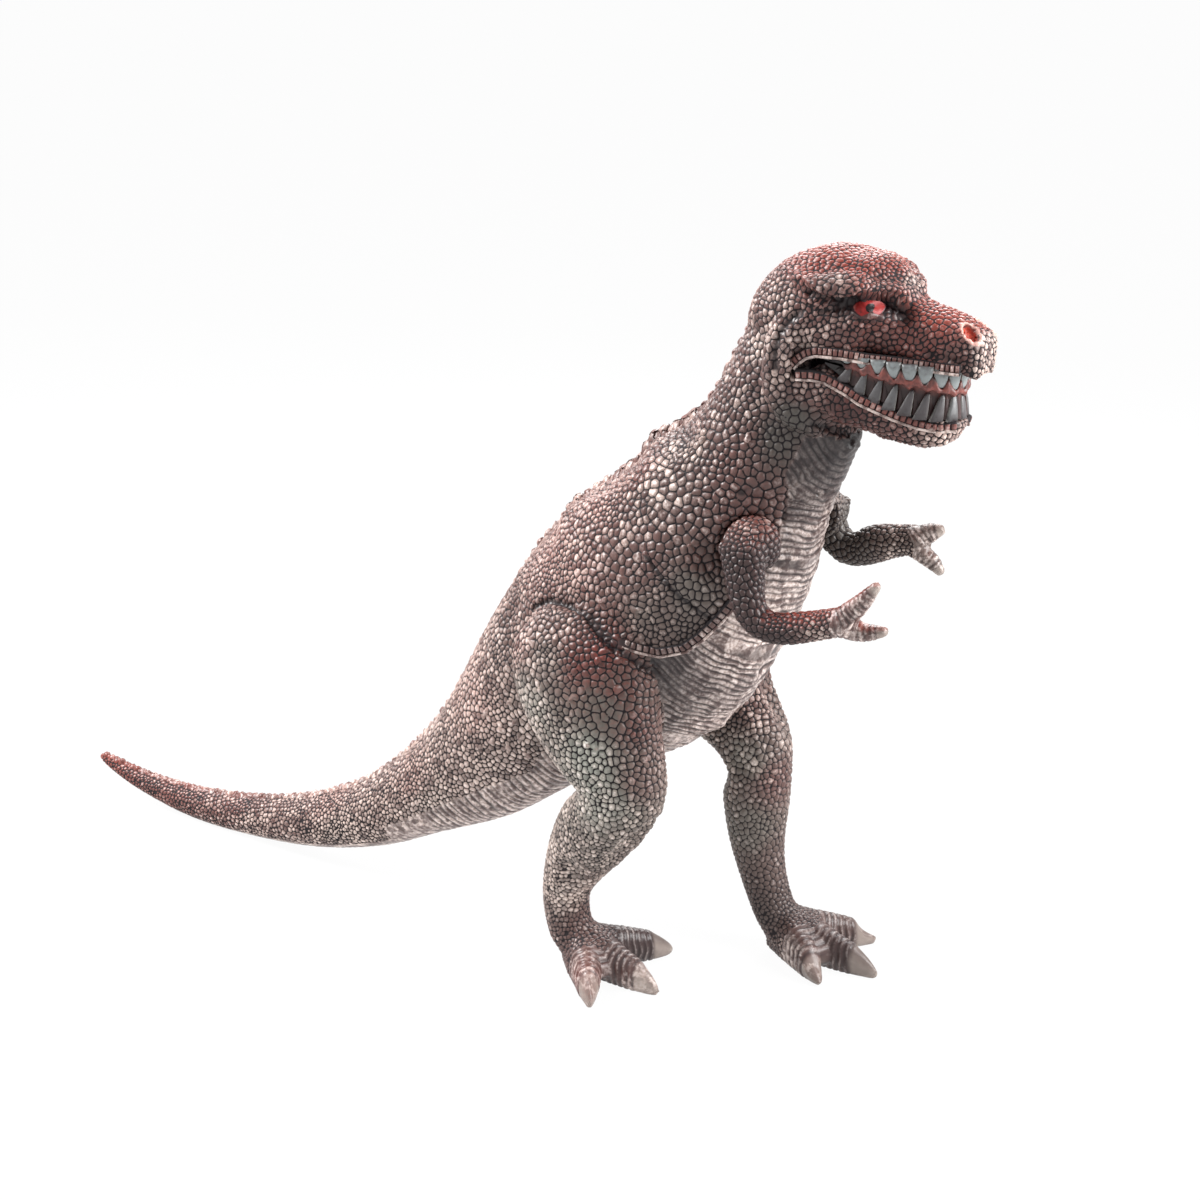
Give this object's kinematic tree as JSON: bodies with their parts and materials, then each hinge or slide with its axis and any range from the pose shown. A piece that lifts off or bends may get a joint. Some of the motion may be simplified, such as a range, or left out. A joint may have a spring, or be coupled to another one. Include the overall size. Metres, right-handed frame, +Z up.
{
  "type": "toy dinosaur figure",
  "caption": "Painted vinyl play figure of a two-legged meat-eating dinosaur, mid stride, mouth open, small arms that turn at the shoulder, standing on its feet and tail.",
  "frame": {"origin": "middle of the figure's bounds, on the plane that its soles stand on", "axes": "+X is the way the figure faces, +Y its left side, +Z up"},
  "size_m": [0.3106, 0.0792, 0.2108],
  "materials": {
    "painted_skin": "satin",
    "painted_belly": "satin",
    "painted_gums": "satin",
    "gloss_eye": "gloss"
  },
  "bodies": {
    "figure": {"body": "painted_skin", "tail": "painted_skin", "head": "painted_skin", "lower_jaw": "painted_skin", "upper_teeth": "painted_gums", "lower_teeth": "painted_gums", "right_eye": "gloss_eye", "left_eye": "gloss_eye", "belly_panel": "painted_belly", "right_leg": "painted_skin", "left_leg": "painted_skin"},
    "right_arm": {"right_arm": "painted_skin"},
    "left_arm": {"left_arm": "painted_skin"}
  },
  "joints": [
    {"name": "right_shoulder", "type": "hinge", "parent": "figure", "child": "right_arm", "pos_m": [0.10068, -0.02162, 0.1352], "axis": [0, 1, 0], "range_deg": [-60, 20]},
    {"name": "left_shoulder", "type": "hinge", "parent": "figure", "child": "left_arm", "pos_m": [0.10068, 0.01838, 0.1352], "axis": [0, 1, 0], "range_deg": [-60, 20]}
  ]
}
